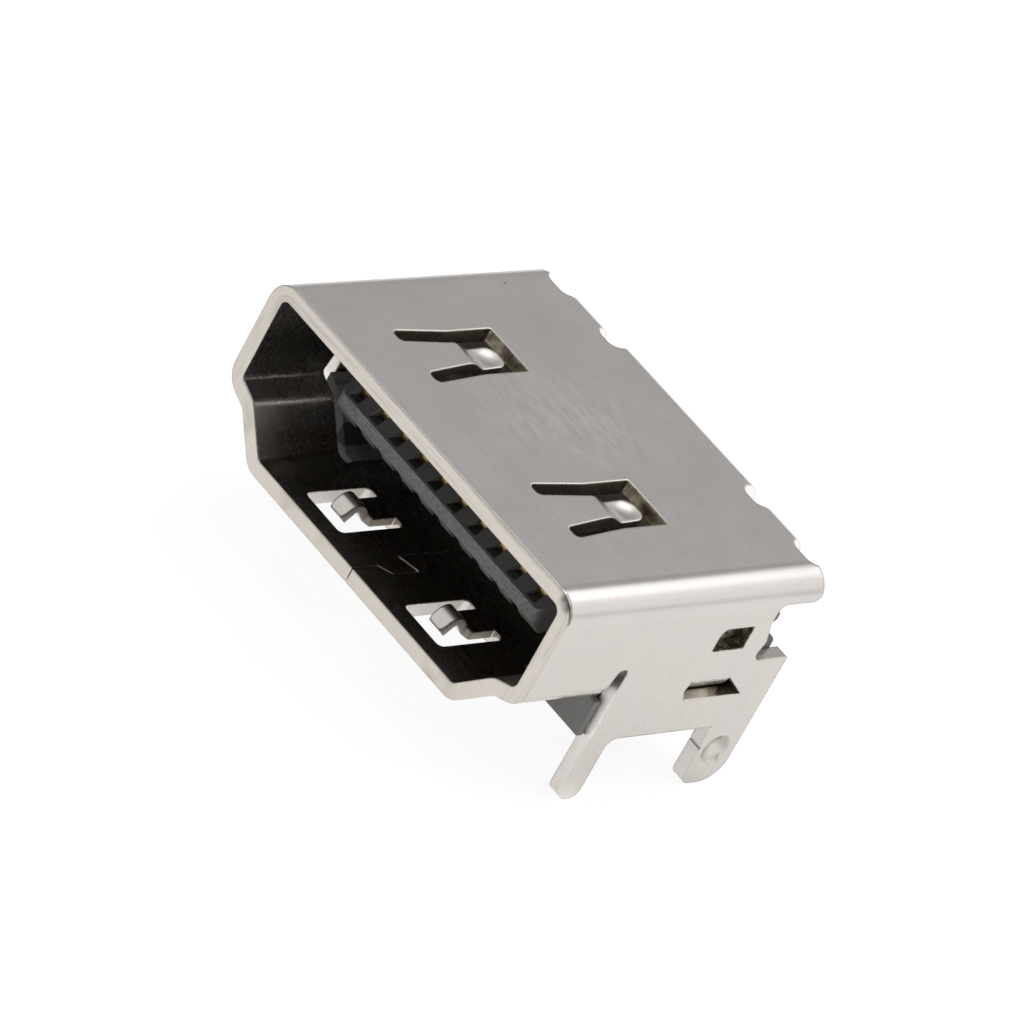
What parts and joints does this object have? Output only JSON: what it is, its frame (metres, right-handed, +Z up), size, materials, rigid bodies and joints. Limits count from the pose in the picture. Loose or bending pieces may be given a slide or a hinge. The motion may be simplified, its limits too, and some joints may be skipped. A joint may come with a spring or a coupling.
{
  "type": "digital video socket",
  "caption": "Board-mounted digital video socket: a folded sheet shell with springs and solder legs round a moulded tongue that carries two rows of gold contacts.",
  "frame": {"origin": "on the board's top face, in the middle of the four legs", "axes": "+X across the mouth, to the right seen from the front; +Y from the mouth to the back; +Z up from the board"},
  "size_m": [0.015, 0.0122, 0.0078],
  "materials": {
    "sheet": "satin nickel plate on stamped sheet",
    "moulding": "matt moulded dark grey",
    "contact": "gold plated"
  },
  "bodies": {
    "root": {"shell": "sheet", "housing": "moulding", "spacer": "moulding", "contact_01": "contact", "contact_02": "contact", "contact_03": "contact", "contact_04": "contact", "contact_05": "contact", "contact_06": "contact", "contact_07": "contact", "contact_08": "contact", "contact_09": "contact", "contact_10": "contact", "contact_11": "contact", "contact_12": "contact", "contact_13": "contact", "contact_14": "contact", "contact_15": "contact", "contact_16": "contact", "contact_17": "contact", "contact_18": "contact", "contact_19": "contact"}
  },
  "joints": []
}
